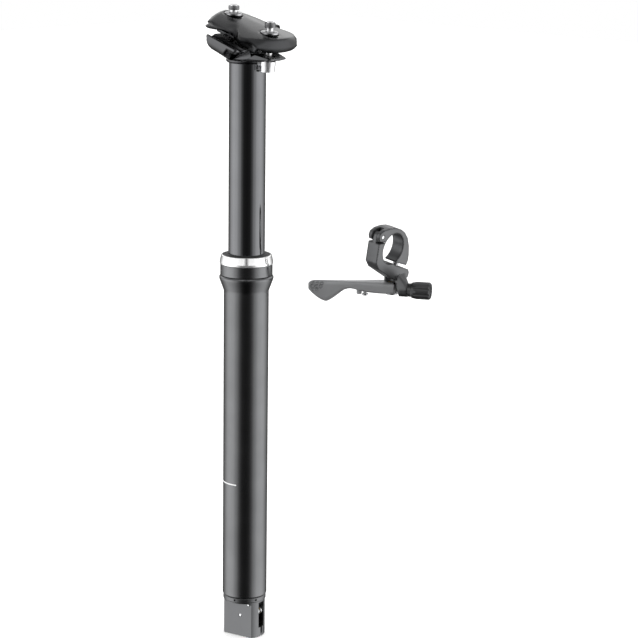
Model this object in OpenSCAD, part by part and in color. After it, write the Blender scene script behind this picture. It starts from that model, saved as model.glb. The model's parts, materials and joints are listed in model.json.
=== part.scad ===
// Dropper seatpost with its thumb remote. Millimetres, +Z up along the post,
// +X towards the saddle's nose, +Y to the rider's left.
// The origin is on the post's axis, where the straight tube meets the collar flare.

/* [Outer tube] */
// Outside diameter of the tube that goes into the frame
tube_d = 30.9; // [30.4:0.1:31.6]
// Length of the tube below the collar flare
tube_len = 217.5; // [210:0.5:240]
// Wall of the tube
tube_wall = 1.75; // [1.65:0.05:1.9]
// Largest diameter of the flare
flare_d = 37.2; // [36.8:0.1:38.4]
// Height of the flare up to the nut
flare_h = 10.9; // [10:0.1:12]
// Height of the plain bead above the flare's cone
flare_bead = 2.1; // [1.5:0.1:2.5]

/* [Collar] */
// Diameter of the collar nut
nut_d = 35.8; // [35.4:0.1:36.2]
// Height of the collar nut's grip
nut_h = 8.2; // [7:0.1:10]
// Diameter of the bright ring at its foot
ring_d = 36.7; // [36.5:0.1:37.2]
// Diameter of the bright ring at its top
ring_top_d = 34.4; // [34.2:0.1:35]
// Height of the bright ring
ring_h = 6.2; // [5.5:0.1:7]
// Height of the bright ring's straight foot
ring_foot = 1.4; // [1:0.1:2]
// Depth that the collar nut screws into the tube
nut_screw = 7.5; // [6.5:0.1:7.8]

/* [Stanchion] */
// Outside diameter of the sliding tube
stanchion_d = 25; // [24.8:0.1:25.2]
// Wall of the sliding tube
stanchion_wall = 1.6; // [1.5:0.05:1.7]
// Height of the sliding tube's top above the origin when extended
stanchion_top = 155.6; // [152:0.1:165]
// Length of the sliding tube that stays inside when extended
stanchion_in = 70; // [68:0.5:72]
// Travel of the post
travel = 125; // [100:1:125]
// Length of the upper bushing
bushing_len = 37; // [30:0.5:37]
// Length of the lower guide ring
guide_len = 12; // [8:0.5:12]
// Number of anti-rotation keys
key_count = 3; // [2:1:4]
// Width of a key
key_w = 3; // [2.5:0.1:3.4]
// Length of a key
key_len = 12; // [10:0.5:13]
// Height of the small slot at the stanchion's top
vent_h = 4.2; // [3.5:0.1:5]
// Width of the small slot at the stanchion's top
vent_w = 2.4; // [2:0.1:3]

/* [Gas spring] */
// Bore of the gas cylinder
gas_bore = 16; // [15.6:0.1:16.4]
// Outside diameter of the gas cylinder
gas_d = 19; // [18.6:0.1:19.6]
// Diameter of the hollow rod
rod_d = 9; // [8.6:0.1:9.4]
// Diameter of the valve pin
valve_d = 2.8; // [2.6:0.1:3]
// Height of the gas cylinder's top above the origin
gas_top = 125; // [122:0.5:130]
// Length of the floating piston
float_len = 8; // [7:0.5:9]

/* [Actuator] */
// Turn of the actuator housing about the post
actuator_yaw = 12.5; // [0:0.5:30]
// Diameter of the housing's body
housing_d = 28.8; // [28.2:0.1:29.4]
// Distance across the housing's two flats
housing_flats = 17; // [16.5:0.1:18]
// Length of the housing's body below the lock ring
housing_len = 25.8; // [25:0.1:28]
// Width of the lever's slot
slot_w = 6; // [5.6:0.1:6.4]
// Thickness of the lever
lever_t = 5; // [4.6:0.1:5.2]
// Thickness of the lock ring
lock_ring_t = 3.3; // [3:0.1:4]
// Diameter of the seat for the cable housing's end
cable_seat_d = 5; // [4.6:0.1:5.2]

/* [Saddle clamp] */
// Forward tilt of the rails
clamp_tilt = 16.5; // [12:0.1:17]
// Diameter of the saddle rails
rail_d = 7; // [7:0.1:7.2]
// Distance between the saddle rails
rail_gauge = 44; // [43:0.5:45]
// Height of the rails above the stanchion's top
rail_rise = 18.2; // [18:0.1:19]
// Height of the tilt axis above the stanchion's top
pivot_rise = 40.4; // [40.2:0.1:40.6]
// Radius of the trough that the cradle rocks in
trough_r = 38; // [37.9:0.1:38.2]
// Width of the head across the post
head_w = 26; // [25:0.5:27]
// Width of the lower cradle
cradle_w = 55; // [54:0.5:56]
// Width of the upper clamp
clamp_w = 56; // [55:0.5:57]
// Thickness of the upper clamp
clamp_t = 6.6; // [6.4:0.1:7]
// Distance that the upper clamp is lifted from the rails
clamp_lift = 1.2; // [1:0.1:1.4]
// Diameter of the clamp bolts
bolt_d = 5; // [4.8:0.1:5.2]
// Lean of the clamp bolts
bolt_lean = 4; // [3:0.5:5]
// Diameter of the dished nuts
dish_d = 12.3; // [11.8:0.1:12.6]

/* [Remote] */
// Place of the bar clamp's near face, on the bar's axis
remote_pos = [69, 72.7, 29.4];
// Diameter of the handlebar
bar_d = 22.2; // [22:0.1:22.4]
// Width of the bar clamp
clamp_band = 9.6; // [9:0.1:10.5]
// Rise of the handlebar's axis
bar_rise = 9.5; // [5:0.5:12]
// Radius of the adjuster knob
knob_r = 6.05; // [5.8:0.05:6.3]
// Length of the adjuster knob
knob_len = 15.8; // [14:0.1:17]
// Length of the thumb lever from the adjuster to its tip
paddle_reach = 66.5; // [64:0.5:70]
// Depth of the thumb pad below the lever's top
paddle_drop = 14.6; // [13:0.1:16]
// Radius of the lever's hub
hub_r = 5.5; // [5.3:0.1:5.7]

/* [Hidden] */

$fn = 64;
eps = 0.01;

// Clearances
run_gap = 0.05;
seat_gap = 0.04;
free_gap = 0.3;

// Post radii
tube_r = tube_d / 2;
bore_r = tube_r - tube_wall;
stanchion_r = stanchion_d / 2;
stanchion_in_r = stanchion_r - stanchion_wall;
flare_r = flare_d / 2;
nut_r = nut_d / 2;
nut_spigot_r = stanchion_r + 2.5;
nut_bore_r = stanchion_r + 0.5;
nut_top = flare_h + nut_h;
ring_top = nut_top + ring_h;
ring_in_r = ring_top_d / 2 - 1.2;
nut_foot = flare_h - nut_screw;
wiper_seat_r = ring_in_r - 0.9;
oring_r = 0.7;
oring_groove = 2 * oring_r + 2 * seat_gap;
oring_z = nut_foot + nut_screw / 2;

// Keys and keyways
key_in_r = stanchion_r - 0.8;
vent_turn = -9.5;
key_out_r = bore_r + 0.6;
keyway_r = key_out_r + 0.2;
keyway_w = key_w + 0.2;
bumper_h = 4;
bushing_top = nut_foot - 0.1;
bushing_foot = bushing_top - bushing_len;
bumper_foot = bushing_foot - 0.05 - bumper_h;
key_top = bumper_foot - free_gap;
key_foot = key_top - key_len;
keyway_foot = key_foot - travel - 30;
guide_groove = 0.3;
guide_foot = -stanchion_in + 2;

// Gas spring
gas_bore_r = gas_bore / 2;
gas_r = gas_d / 2;
rod_r = rod_d / 2;
rod_hole_r = valve_d / 2 + 0.3;
valve_r = valve_d / 2;
gas_foot = -stanchion_in + 10;
gland_flange = 4;
gland_len = 7;
piston_foot = gas_foot + gland_len + 3;
piston_h = 8;
piston_top = piston_foot + piston_h;
cap_h = stanchion_top - 12.5 - gas_top - 0.1;
float_foot = gas_top / 2 - 2.5;
cap_r = stanchion_in_r - 0.1;

// Actuator, along its own axis: x towards the slot's mouth
housing_r = housing_d / 2;
housing_top = -tube_len - lock_ring_t - 0.2;
housing_foot = housing_top - housing_len;
neck_r = bore_r - seat_gap;
ring_hole_r = neck_r - 0.35;
neck_top = housing_top + 16;
rod_foot = neck_top - 7;
pivot_x = 2.2;
pivot_z = housing_top - 10.8;
pivot_r = 1.25;
stop_x = 9.1;
stop_z = housing_top - 2;
stop_r = 1.15;
anchor_x = 10.5;
anchor_z = pivot_z + 2.6;
anchor_r = 2;
cable_r = 0.7;
bridge_h = 6.4;
seat_depth = 4.5;
slot_back = -5.5;
slot_roof = housing_top - 1;
cable_slit = 1.8;
arm_tip_x = -1.2;
arm_r = 1.5;
valve_foot = pivot_z + 2.6;

// Saddle clamp
clamp_z = stanchion_top + rail_rise;
pivot_up = stanchion_top + pivot_rise;
rail_r = rail_d / 2;
jaw_r = rail_r + 0.05;
rail_y = rail_gauge / 2;
cradle_r = trough_r - 0.2;
cradle_core = 10.5;
jaw_low = -2.2;
jaw_high = jaw_low + 2.9 + clamp_lift;
cradle_back = -12.4;
cradle_front = 18.4;
clamp_mid = 1;
clamp_top = jaw_high + clamp_t;
clamp_crown = 0.0035;
skirt_drop = 2.6;
rim_drop = 0.1;
lip_rise = 3.6;
waist_x = 8;
bolt_r = bolt_d / 2;
bolt_span = 18.25;
head_bolt_r = 4.8;
flange_r = 5.2;
neck_flare_r = stanchion_r + 1.9;
neck_flare_h = 2.7;
head_half = head_w / 2;
spigot_h = 12.5;
ear_top = stanchion_top + 6.9;
front_ear_foot = stanchion_top + 2.6;
rear_ear_foot = stanchion_top + 5.2;
ear_w = 18;
ear_slot = 5;
ear_face = 0.45;
ear_gap = 0.5;
ear_foot = [front_ear_foot, rear_ear_foot];
bolt_side = [1, -1];

// Faces under the ears, as places along the two bolts
bolt_seat = [
  for (e = [0, 1])
    ear_face + (ear_foot[e] - clamp_z + (clamp_mid + bolt_side[e] * bolt_span) * sin(clamp_tilt)
      - clamp_top * cos(clamp_tilt)) / cos(bolt_lean)
];

// Remote
bar_r = bar_d / 2;
remote_yaw = 94.5;
lever_yaw = 211.5;
lever_org = remote_pos + [-3.3, 12.7, -30.5];
hinge_at = [-13.3, 10];
hinge_r = 1.2;
tongue_half = 1.7;
band_bolt_r = 2;
band_bolt_at = [11.6, -14];
split_angle = -16.7;
thumb_pivot = [8, -6.5];
hub_top = 4.4;
hub_foot = -3.9;
thumb_pin_r = 2;
bushing_wall = 0.8;
housing_r2 = 4.9;
housing_in = 1.2;
housing_out = -4.5;
insert_r = 3;
knob_near = -4.9;
insert_in = -2;
seat_bore_r = cable_seat_d / 2;
screw_at = [25.5, 0.4];

// Frames of the parts that stand at an angle
module at_actuator() {
  rotate([0, 0, actuator_yaw]) children();
}

module at_clamp() {
  translate([0, 0, clamp_z]) rotate([0, clamp_tilt, 0]) children();
}

// End 0 is the front bolt, end 1 the rear one; z = 0 on the upper clamp's top
module at_bolt(end) {
  at_clamp() translate([clamp_mid + bolt_side[end] * bolt_span, 0, clamp_top])
    rotate([0, bolt_lean - clamp_tilt, 0]) children();
}

module at_remote() {
  translate(remote_pos) rotate([0, 0, remote_yaw]) rotate([bar_rise, 0, 0]) children();
}

module at_lever() {
  translate(lever_org) rotate([0, 0, lever_yaw]) children();
}

// A tube between two heights
module ring(r_out, r_in, z_low, z_high) {
  translate([0, 0, z_low]) difference() {
    cylinder(r = r_out, h = z_high - z_low);
    translate([0, 0, -1]) cylinder(r = r_in, h = z_high - z_low + 2);
  }
}

// A rod along +Y, centred
module cross_rod(r, length) {
  rotate([90, 0, 0]) cylinder(r = r, h = length, center = true);
}

// A point on a smooth curve through four points, t from b to c
function smooth(a, b, c, d, t) =
  b + 0.5 * t * (c - a) + t * t * (a - 2.5 * b + 2 * c - 0.5 * d) + t * t * t * (1.5 * b - 1.5 * c + 0.5 * d - 0.5 * a);

// A smooth curve through a list of points
function curve(p, steps) = [
  for (i = [0 : len(p) - 2], s = [0 : steps - 1])
    smooth(p[max(i - 1, 0)], p[i], p[i + 1], p[min(i + 2, len(p) - 1)], s / steps),
  p[len(p) - 1]
];

// A solid through closed rings of points, each ring with as many points, an even number.
// Its two ends are strips from side to side, so an outline may be drawn in at its waist.
module loft(rings) {
  n = len(rings[0]);
  m = len(rings);
  half = n / 2;
  points = [for (r = rings) for (p = r) p];
  sides = [
    for (i = [0 : m - 2], j = [0 : n - 1])
      each [
        [i * n + j, (i + 1) * n + (j + 1) % n, i * n + (j + 1) % n],
        [i * n + j, (i + 1) * n + j, (i + 1) * n + (j + 1) % n]
      ]
  ];
  foot = concat(
    [[0, 1, n - 1]],
    [for (j = [1 : half - 2]) [j, j + 1, n - j - 1, n - j]],
    [[half - 1, half, half + 1]]
  );
  top = [for (f = foot) [for (k = [len(f) - 1 : -1 : 0]) (m - 1) * n + f[k]]];
  polyhedron(points, concat(foot, sides, top));
}

module outer_tube() {
  color("#1b1c1e") difference() {
    rotate_extrude($fn = 96) polygon([
      [bore_r - 0.5, -tube_len],
      [tube_r - 0.7, -tube_len],
      [tube_r, -tube_len + 0.9],
      [tube_r, 0],
      [tube_r + 0.35, 1.2],
      [flare_r - 0.5, flare_h - flare_bead - 1.4],
      [flare_r, flare_h - flare_bead],
      [flare_r, flare_h - 0.9],
      [flare_r - 0.6, flare_h],
      [bore_r - 0.5, flare_h]
    ]);
    translate([0, 0, -tube_len - 1]) cylinder(r = bore_r, h = tube_len + flare_h + 2, $fn = 96);
    translate([0, 0, nut_foot]) cylinder(r = nut_spigot_r + run_gap, h = nut_screw + 1, $fn = 96);
    for (k = [0 : key_count - 1])
      rotate([0, 0, k * 360 / key_count]) intersection() {
        translate([0, -keyway_w / 2, keyway_foot]) cube([keyway_r + 2, keyway_w, nut_foot - keyway_foot + eps]);
        translate([0, 0, keyway_foot - 1]) cylinder(r = keyway_r, h = nut_foot - keyway_foot + 2);
      }
  }
}

module collar_nut() {
  color("#202123") rotate_extrude($fn = 96) polygon([
    [nut_bore_r, nut_foot],
    [nut_spigot_r - 0.4, nut_foot],
    [nut_spigot_r, nut_foot + 0.4],
    [nut_spigot_r, oring_z - oring_r - 0.1],
    [nut_spigot_r - oring_groove, oring_z - oring_r - 0.1],
    [nut_spigot_r - oring_groove, oring_z + oring_r + 0.1],
    [nut_spigot_r, oring_z + oring_r + 0.1],
    [nut_spigot_r, flare_h + 0.05],
    [nut_r - 0.5, flare_h + 0.05],
    [nut_r, flare_h + 0.6],
    [nut_r, nut_top - 0.5],
    [nut_r - 0.3, nut_top - 0.05],
    [ring_in_r - 0.05, nut_top - 0.05],
    [ring_in_r - 0.05, ring_top - 0.6],
    [wiper_seat_r, ring_top - 0.6],
    [wiper_seat_r, flare_h + 2],
    [nut_bore_r, flare_h + 2]
  ]);
}

module accent_ring() {
  color("#e4e6e8") rotate_extrude($fn = 96) polygon([
    [ring_in_r, nut_top],
    [ring_d / 2 - 0.2, nut_top],
    [ring_d / 2, nut_top + 0.2],
    [ring_d / 2, nut_top + ring_foot],
    [ring_top_d / 2 + 0.15, ring_top - 0.3],
    [ring_top_d / 2 - 0.15, ring_top],
    [ring_in_r + 0.5, ring_top],
    [ring_in_r + 0.5, ring_top - 0.6],
    [ring_in_r, ring_top - 0.6]
  ]);
}

// Double-lip wiper: a pressed body, a flange over the nut's rim and a lip that meets the tube
module wiper_seal() {
  lip_r = stanchion_r + run_gap;
  color("#141414") rotate_extrude($fn = 96) polygon([
    [stanchion_r + 1.3, flare_h + 2.05],
    [wiper_seat_r - seat_gap, flare_h + 2.05],
    [wiper_seat_r - seat_gap, ring_top - 0.55],
    [ring_in_r + 0.4, ring_top - 0.55],
    [ring_in_r + 0.4, ring_top - 0.1],
    [stanchion_r + 2.2, ring_top - 0.3],
    [stanchion_r + 1, ring_top + 0.5],
    [lip_r, ring_top + 0.8],
    [lip_r, ring_top + 0.2],
    [stanchion_r + 0.9, ring_top - 1.5],
    [stanchion_r + 1.3, ring_top - 4],
    [lip_r, flare_h + 4.6],
    [lip_r, flare_h + 4]
  ]);
}

module upper_bushing() {
  color("#8d8a80") ring(bore_r - seat_gap, stanchion_r + run_gap, bushing_foot, bushing_top, $fn = 96);
}

module collar_oring() {
  color("#1a1a1a") rotate_extrude($fn = 96)
    translate([nut_spigot_r - oring_r - seat_gap, oring_z]) circle(r = oring_r, $fn = 24);
}

module topout_bumper() {
  color("#3b3d3f") ring(bore_r - 0.2, stanchion_r + 0.12, bumper_foot, bumper_foot + bumper_h, $fn = 96);
}

module lock_ring() {
  holes = 6;
  color("#2b2c2e") difference() {
    rotate_extrude($fn = 96) polygon([
      [ring_hole_r + run_gap, housing_top + 0.1],
      [tube_r - 0.9, housing_top + 0.1],
      [tube_r - 0.5, housing_top + 0.5],
      [tube_r - 0.5, -tube_len - 0.4],
      [tube_r - 0.8, -tube_len - 0.1],
      [ring_hole_r + run_gap, -tube_len - 0.1]
    ]);
    for (k = [0 : holes - 1])
      rotate([0, 0, k * 360 / holes - 71]) translate([0, 0, -tube_len - 1.6]) rotate([0, 90, 0])
        cylinder(r = 0.75, h = tube_r + 1, $fn = 24);
  }
}

// The flat is milled with a round cutter, so its upper front corner is an arc
module flat_cutter() {
  corner = 4.5;
  edge = 11.2;
  depth = housing_r;
  top = housing_top - 0.6;
  rotate([90, 0, 0]) linear_extrude(depth) difference() {
    translate([-edge - 5, housing_foot - 1]) square([edge * 2 + 6.5, top - housing_foot + 1]);
    translate([edge + 1.5 - corner, top - corner]) difference() {
      square([corner + 1, corner + 1]);
      circle(r = corner, $fn = 48);
    }
  }
}

module actuator_housing() {
  color("#1e1f21") at_actuator() difference() {
    union() {
      translate([0, 0, housing_foot]) cylinder(r = housing_r, h = housing_len, $fn = 96);
      translate([0, 0, housing_top - 1]) cylinder(r = ring_hole_r, h = lock_ring_t + 2.4, $fn = 96);
      translate([0, 0, -tube_len + 1]) cylinder(r = neck_r, h = neck_top + tube_len - 1, $fn = 96);
    }
    for (side = [0, 1])
      mirror([0, side, 0]) translate([0, -housing_flats / 2, 0]) flat_cutter();
    // Lever slot, open at the front
    translate([slot_back, -slot_w / 2, housing_foot + bridge_h])
      cube([housing_r * 2, slot_w, slot_roof - housing_foot - bridge_h]);
    // Cable housing's seat, cable hole and slit
    translate([anchor_x, 0, housing_foot - 1]) cylinder(r = cable_seat_d / 2, h = seat_depth + 1, $fn = 48);
    translate([anchor_x, 0, housing_foot]) cylinder(r = cable_slit / 2, h = bridge_h + 1, $fn = 24);
    translate([anchor_x, -cable_slit / 2, housing_foot - 1]) cube([housing_r, cable_slit, bridge_h + 2]);
    // Pins
    translate([pivot_x, 0, pivot_z]) cross_rod(pivot_r + run_gap, housing_d);
    translate([stop_x, 0, stop_z]) cross_rod(stop_r + run_gap, housing_d);
    // Valve pin's hole and the rod's seat
    translate([0, 0, slot_roof - 1]) cylinder(r = valve_r + 0.2, h = neck_top - slot_roof + 2, $fn = 32);
    translate([0, 0, rod_foot]) cylinder(r = rod_r + seat_gap, h = neck_top - rod_foot + 1, $fn = 48);
  }
}

// A pin with slightly domed ends, along Y
module domed_pin(r, length) {
  rotate([90, 0, 0]) translate([0, 0, -length / 2]) rotate_extrude($fn = 32) polygon([
    [0, 0], [r * 0.6, 0.05], [r, 0.35], [r, length - 0.35], [r * 0.6, length - 0.05], [0, length]
  ]);
}

module lever_pivot_pin() {
  color("#d7d9db") at_actuator() translate([pivot_x, 0, pivot_z]) domed_pin(pivot_r, housing_flats + 0.2);
}

module lever_stop_pin() {
  color("#d7d9db") at_actuator() translate([stop_x, 0, stop_z]) domed_pin(stop_r, housing_flats + 0.6);
}

module actuator_lever() {
  boss = 2.6;
  color("#b9bbbd") at_actuator() difference() {
    rotate([90, 0, 0]) translate([0, 0, -lever_t / 2]) linear_extrude(lever_t) {
      hull() {
        translate([pivot_x, pivot_z]) circle(r = boss, $fn = 32);
        translate([anchor_x, anchor_z]) circle(r = anchor_r + 0.9, $fn = 32);
      }
      hull() {
        translate([pivot_x, pivot_z]) circle(r = boss - 0.3, $fn = 32);
        translate([arm_tip_x, valve_foot - arm_r - 0.1]) circle(r = arm_r, $fn = 32);
      }
      hull() {
        translate([anchor_x - 1, anchor_z]) circle(r = 1.6, $fn = 24);
        translate([stop_x - 1, stop_z - stop_r - 1.15]) circle(r = 1, $fn = 24);
      }
    }
    translate([pivot_x, 0, pivot_z]) cross_rod(pivot_r + run_gap, lever_t + 2);
    translate([anchor_x, 0, anchor_z]) cross_rod(anchor_r + run_gap, lever_t + 2);
    // Slit for the cable through the fork
    translate([anchor_x - cable_r - 0.2, -cable_r - 0.3, anchor_z - 6]) cube([8, 2 * cable_r + 0.6, 12]);
  }
}

module cable_anchor() {
  color("#c9a559") at_actuator() translate([anchor_x, 0, anchor_z]) difference() {
    cross_rod(anchor_r, lever_t - 0.1);
    cylinder(r = cable_r, h = 3 * anchor_r, center = true, $fn = 24);
    translate([cable_r * 0.4, 0, 0]) rotate([0, 90, 0]) cylinder(r = 1.15, h = 3, $fn = 24);
  }
}

module anchor_grub_screw() {
  color("#3a3b3d") at_actuator() translate([anchor_x + cable_r * 1.2, 0, anchor_z]) rotate([0, 90, 0]) difference() {
    cylinder(r = 1.1, h = 1.05, $fn = 24);
    translate([0, 0, 0.5]) cylinder(r = 0.6, h = 2, $fn = 6);
  }
}

module valve_pin() {
  color("#c2c4c6") translate([0, 0, valve_foot]) cylinder(r = valve_r, h = piston_foot + 6 - valve_foot, $fn = 32);
}

module gas_rod() {
  color("#cfd1d3") ring(rod_r, rod_hole_r, rod_foot, piston_top - 1, $fn = 48);
}

module main_piston() {
  seat = rod_r + seat_gap;
  color("#b79a52") translate([0, 0, piston_foot]) rotate_extrude($fn = 64) polygon([
    [seat, 0], [gas_bore_r - 1.2, 0], [gas_bore_r - run_gap, 1], [gas_bore_r - run_gap, 2.6],
    [gas_bore_r - 0.9, 2.6], [gas_bore_r - 0.9, piston_h - 2.6], [gas_bore_r - run_gap, piston_h - 2.6],
    [gas_bore_r - run_gap, piston_h - 1], [gas_bore_r - 1.2, piston_h], [seat, piston_h]
  ]);
}

module stanchion() {
  color("#111214") difference() {
    translate([0, 0, -stanchion_in]) rotate_extrude($fn = 96) polygon([
      [stanchion_in_r, 0], [stanchion_r - 0.5, 0], [stanchion_r, 0.6],
      [stanchion_r, stanchion_in + stanchion_top], [stanchion_in_r, stanchion_in + stanchion_top]
    ]);
    // Groove for the guide ring
    difference() {
      translate([0, 0, guide_foot]) cylinder(r = stanchion_r + 1, h = guide_len, $fn = 96);
      translate([0, 0, guide_foot - 1]) cylinder(r = stanchion_r - guide_groove, h = guide_len + 2, $fn = 96);
    }
    // Pockets for the keys
    for (k = [0 : key_count - 1])
      rotate([0, 0, k * 360 / key_count]) translate([key_in_r - run_gap, -key_w / 2 - run_gap, key_foot - run_gap])
        cube([5, key_w + 2 * run_gap, key_len + 2 * run_gap]);
    // Small slot at the front of the top
    translate([0, 0, stanchion_top - 2.8]) rotate([0, 0, vent_turn]) rotate([0, 90, 0]) rotate([0, 0, 90])
      linear_extrude(stanchion_r + 1) square([vent_w, vent_h], center = true);
    // Room for the front bolt's head when the saddle tips forward by 4 degrees
    translate([0, 0, pivot_up]) rotate([0, 4, 0]) translate([0, 0, -pivot_up]) at_bolt(0)
      translate([0, 0, bolt_seat[0] - ear_gap + 1.55 - 7.8]) cylinder(r = flange_r + 0.35, h = 9, $fn = 48);
  }
}

module guide_ring() {
  color("#6c6e70") ring(bore_r - 0.1, stanchion_r - guide_groove + run_gap,
    guide_foot + run_gap, guide_foot + guide_len - run_gap, $fn = 96);
}

module anti_rotation_keys() {
  color("#b58e3e")
    for (k = [0 : key_count - 1])
      rotate([0, 0, k * 360 / key_count]) intersection() {
        translate([key_in_r, -key_w / 2, key_foot]) cube([6, key_w, key_len]);
        translate([0, 0, key_foot - 1]) cylinder(r = key_out_r, h = key_len + 2, $fn = 96);
      }
}

module gas_cylinder() {
  color("#9fa2a5") ring(gas_r, gas_bore_r, gas_foot, gas_top, $fn = 64);
}

module cylinder_gland() {
  foot = gas_foot - gland_flange;
  color("#3f4143") difference() {
    union() {
      translate([0, 0, foot]) cylinder(r = gas_r, h = gland_flange - 0.02, $fn = 64);
      translate([0, 0, foot]) cylinder(r = gas_bore_r - seat_gap, h = gland_flange + gland_len, $fn = 64);
    }
    translate([0, 0, foot - 1]) cylinder(r = rod_r + run_gap, h = gland_flange + gland_len + 2, $fn = 48);
  }
}

module cylinder_cap() {
  plug = 7;
  color("#3f4143") difference() {
    union() {
      translate([0, 0, gas_top + 0.02]) cylinder(r = cap_r, h = cap_h, $fn = 64);
      translate([0, 0, gas_top - plug]) cylinder(r = gas_bore_r - seat_gap, h = plug + 1, $fn = 64);
    }
    translate([0, 0, gas_top + 3]) cylinder(r = 3 + run_gap, h = cap_h + 1, $fn = 32);
  }
}

module floating_piston() {
  color("#55585b") translate([0, 0, float_foot]) difference() {
    cylinder(r = gas_bore_r - run_gap, h = float_len, $fn = 64);
    translate([0, 0, 2.5]) cylinder(r = gas_bore_r - 2.5, h = float_len, $fn = 64);
    translate([0, 0, float_len / 2 - 1]) ring(gas_bore_r + 1, gas_bore_r - 1.1, 0, 2);
  }
}

// Yoke on the stanchion: a shallow trough that the cradle rocks in and two slotted ears for the bolts
module head() {
  neck = stanchion_top;
  color("#1a1b1d") difference() {
    union() {
      rotate_extrude($fn = 96) polygon([
        [0, neck - spigot_h],
        [stanchion_in_r - run_gap, neck - spigot_h],
        [stanchion_in_r - run_gap, neck + 0.02],
        [stanchion_r + 0.1, neck + 0.02],
        [stanchion_r + 0.8, neck + 0.3],
        [neck_flare_r - 0.3, neck + 0.8],
        [neck_flare_r + 0.1, neck + 1.5],
        [neck_flare_r + 0.1, neck + neck_flare_h - 0.5],
        [neck_flare_r - 0.4, neck + neck_flare_h + 0.2],
        [neck_flare_r - 1, neck + neck_flare_h + 1.6],
        [0, neck + neck_flare_h + 8]
      ]);
      // Front ear, drawn out from the flared neck
      hull() {
        translate([0, 0, neck + 2.4]) cylinder(r = neck_flare_r - 1.4, h = 1.4, $fn = 64);
        for (y = [-1, 1]) {
          translate([20.6, y * (ear_w / 2 - 3), front_ear_foot]) cylinder(r = 3, h = 2, $fn = 32);
          translate([26.4, y * (ear_w / 2 - 3.4), front_ear_foot + 1.4]) cylinder(r = 3, h = 1, $fn = 32);
          translate([12, y * (neck_flare_r - 4.8), neck + 4]) cylinder(r = 3, h = 4, $fn = 32);
        }
      }
      // Rear ear
      hull() {
        translate([-2, 0, neck + 3.4]) cylinder(r = neck_flare_r - 2.2, h = 1.4, $fn = 64);
        for (y = [-1, 1]) {
          translate([-17, y * (ear_w / 2 - 4), rear_ear_foot]) cylinder(r = 3, h = 3, $fn = 32);
          translate([-11, y * (neck_flare_r - 5.4), rear_ear_foot]) cylinder(r = 3, h = 3, $fn = 32);
        }
      }
    }
    // Trough
    translate([0, 0, pivot_up]) cross_rod(trough_r, 60, $fn = 180);
    // Bolt slots and the faces that the bolts' flanges meet
    for (end = [0, 1])
      at_bolt(end) {
        translate([0, 0, -40]) linear_extrude(50) {
          square([2 * ear_slot - bolt_d, bolt_d + 1.2], center = true);
          for (x = [-1, 1])
            translate([x * (ear_slot - bolt_r), 0]) circle(r = bolt_r + 0.6, $fn = 32);
        }
        // Room for the flange as it moves along the slot
        hull() for (x = [-1, 1])
          translate([x * (ear_slot - bolt_r - 0.2), 0, bolt_seat[end] - 5.6])
            cylinder(r = flange_r + 0.7, h = 5.6, $fn = 48);
      }
    // Cartridge bolt
    translate([0, 0, neck - 7.5]) cylinder(r = 5, h = 30, $fn = 48);
    translate([0, 0, neck - spigot_h - 1]) cylinder(r = 3.2, h = 30, $fn = 32);
  }
}

module cartridge_bolt() {
  foot = stanchion_top - 7.5;
  color("#6a6c6e") difference() {
    union() {
      translate([0, 0, foot]) cylinder(r = 4.7, h = 5, $fn = 48);
      translate([0, 0, foot - 17]) cylinder(r = 3, h = 17, $fn = 32);
    }
    translate([0, 0, foot + 2]) cylinder(r = 2.9, h = 5, $fn = 6);
  }
}

// A rounded bar of the cradle, from x0 to x1 at both sides of the post, in the clamp's frame
module cradle_bar(x0, x1, y, r, z, h) {
  at_clamp() for (x = [x0 + r, x1 - r], side = [-1, 1])
    translate([x, side * (y - r), z]) cylinder(r = r, h = h, $fn = 24);
}

// Lower cradle: wings under the rails whose webs run down to a core that rocks in the trough
module lower_cradle() {
  wing = cradle_w / 2;
  color("#1c1d1f") difference() {
    union() {
      // Jaws across the whole width
      hull() {
        cradle_bar(cradle_back + 0.6, cradle_front, wing, 2, jaw_low - 1.4, 1.4);
        cradle_bar(cradle_back + 2, cradle_front - 3, wing - 2.2, 2, jaw_low - 4, 1);
      }
      // Webs, rounded down to the core
      hull() {
        for (a = [0 : 15 : 75])
          cradle_bar(
            cradle_back + 1 + 4.6 * (1 - cos(a)), cradle_front - 7 - 6 * sin(a), wing - 7.4 * (1 - cos(a)), 2,
            jaw_low - 1.4 - 8.4 * sin(a), 1.4
          );
        for (y = [-1, 1])
          translate([-4.6, y * (cradle_core + 1.6), pivot_up - cradle_r + 0.5]) scale([1.6, 1, 1])
            cylinder(r = 1.6, h = 1, $fn = 24);
      }
      // Core
      hull() {
        cradle_bar(cradle_back + 3, cradle_front - 3, cradle_core, 2, jaw_low - 4, 1);
        intersection() {
          translate([0, 0, pivot_up]) cross_rod(cradle_r, 2 * cradle_core, $fn = 180);
          translate([-12, -30, stanchion_top]) cube([26, 60, 8]);
        }
      }
    }
    // Rail grooves
    at_clamp() for (y = [-rail_y, rail_y])
      translate([-40, y, 0]) rotate([0, 90, 0]) cylinder(r = jaw_r, h = 80, $fn = 64);
    // Room for the two bolts, open to the back and to the front
    at_bolt(1) translate([-30, -bolt_r - 1, -50]) cube([30 + bolt_r + 1.6, bolt_d + 2, 60]);
    at_bolt(0) translate([-bolt_r - 1.6, -bolt_r - 1, -50]) cube([30, bolt_d + 2, 60]);
    // Room for the rear bolt's flange
    at_bolt(1) translate([0, 0, bolt_seat[1] - 6]) cylinder(r = flange_r + 0.8, h = 7.4, $fn = 48);
    // Room over the two ears
    translate([0, 0, pivot_up]) difference() {
      cross_rod(60, 60, $fn = 180);
      cross_rod(cradle_r, 62, $fn = 180);
    }
  }
}

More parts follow.
